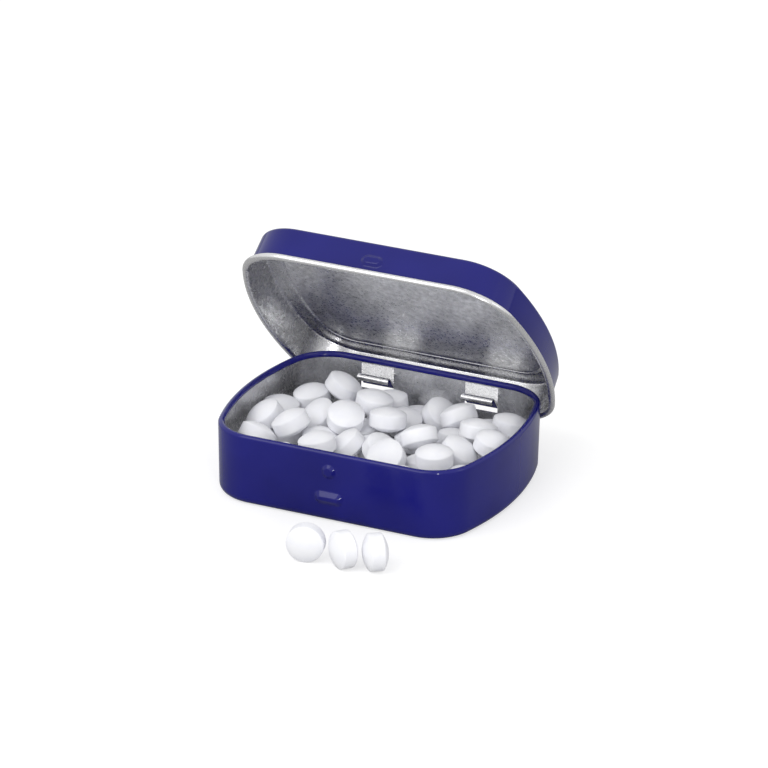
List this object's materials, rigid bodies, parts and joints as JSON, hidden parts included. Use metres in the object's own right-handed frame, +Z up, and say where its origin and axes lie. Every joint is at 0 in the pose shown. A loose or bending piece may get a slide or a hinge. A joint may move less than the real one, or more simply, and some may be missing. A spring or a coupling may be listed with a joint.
{
  "type": "hinged mint tin",
  "caption": "Pocket tin with rolled-rim tray, hinged lid on curled tabs, standing open and filled with round domed mints, loose mints in front.",
  "frame": {"origin": "centre of the tray's underside", "axes": "+X along the hinge to the right, +Y to the rear hinge side, +Z up"},
  "size_m": [0.0642, 0.0748, 0.0509],
  "materials": {
    "blue_lacquer": "gloss",
    "tinplate": "satin",
    "mint_white": "matte"
  },
  "bodies": {
    "tray": {"mint_01": "mint_white", "mint_02": "mint_white", "mint_03": "mint_white", "mint_04": "mint_white", "mint_05": "mint_white", "mint_06": "mint_white", "mint_07": "mint_white", "mint_08": "mint_white", "mint_09": "mint_white", "mint_10": "mint_white", "mint_11": "mint_white", "mint_12": "mint_white", "mint_13": "mint_white", "mint_14": "mint_white", "mint_15": "mint_white", "mint_16": "mint_white", "mint_17": "mint_white", "mint_18": "mint_white", "mint_19": "mint_white", "mint_20": "mint_white", "mint_21": "mint_white", "mint_22": "mint_white", "mint_23": "mint_white", "mint_24": "mint_white", "mint_25": "mint_white", "mint_26": "mint_white", "mint_27": "mint_white", "mint_28": "mint_white", "mint_29": "mint_white", "mint_30": "mint_white", "mint_31": "mint_white", "mint_32": "mint_white", "mint_33": "mint_white", "mint_34": "mint_white", "mint_35": "mint_white", "mint_36": "mint_white", "mint_37": "mint_white", "mints_lower": "mint_white", "tin_base": "blue_lacquer"},
    "lid": {"tin_lid": "tinplate"},
    "loose_mint_left_body": {"loose_mint_left": "mint_white"},
    "loose_mint_middle_body": {"loose_mint_middle": "mint_white"},
    "loose_mint_right_body": {"loose_mint_right": "mint_white"}
  },
  "joints": [
    {"name": "lid_hinge", "type": "hinge", "parent": "tray", "child": "lid", "pos_m": [0, 0.025, 0.0083], "axis": [-1, 0, 0], "range_deg": [-50.7, 39.3]},
    {"name": "loose_mint_left_lift", "type": "slide", "parent": "tray", "child": "loose_mint_left_body", "axis": [0, 0, 1], "range_m": [0, 0.03]},
    {"name": "loose_mint_middle_lift", "type": "slide", "parent": "tray", "child": "loose_mint_middle_body", "axis": [0, 0, 1], "range_m": [0, 0.03]},
    {"name": "loose_mint_right_lift", "type": "slide", "parent": "tray", "child": "loose_mint_right_body", "axis": [0, 0, 1], "range_m": [0, 0.03]}
  ]
}
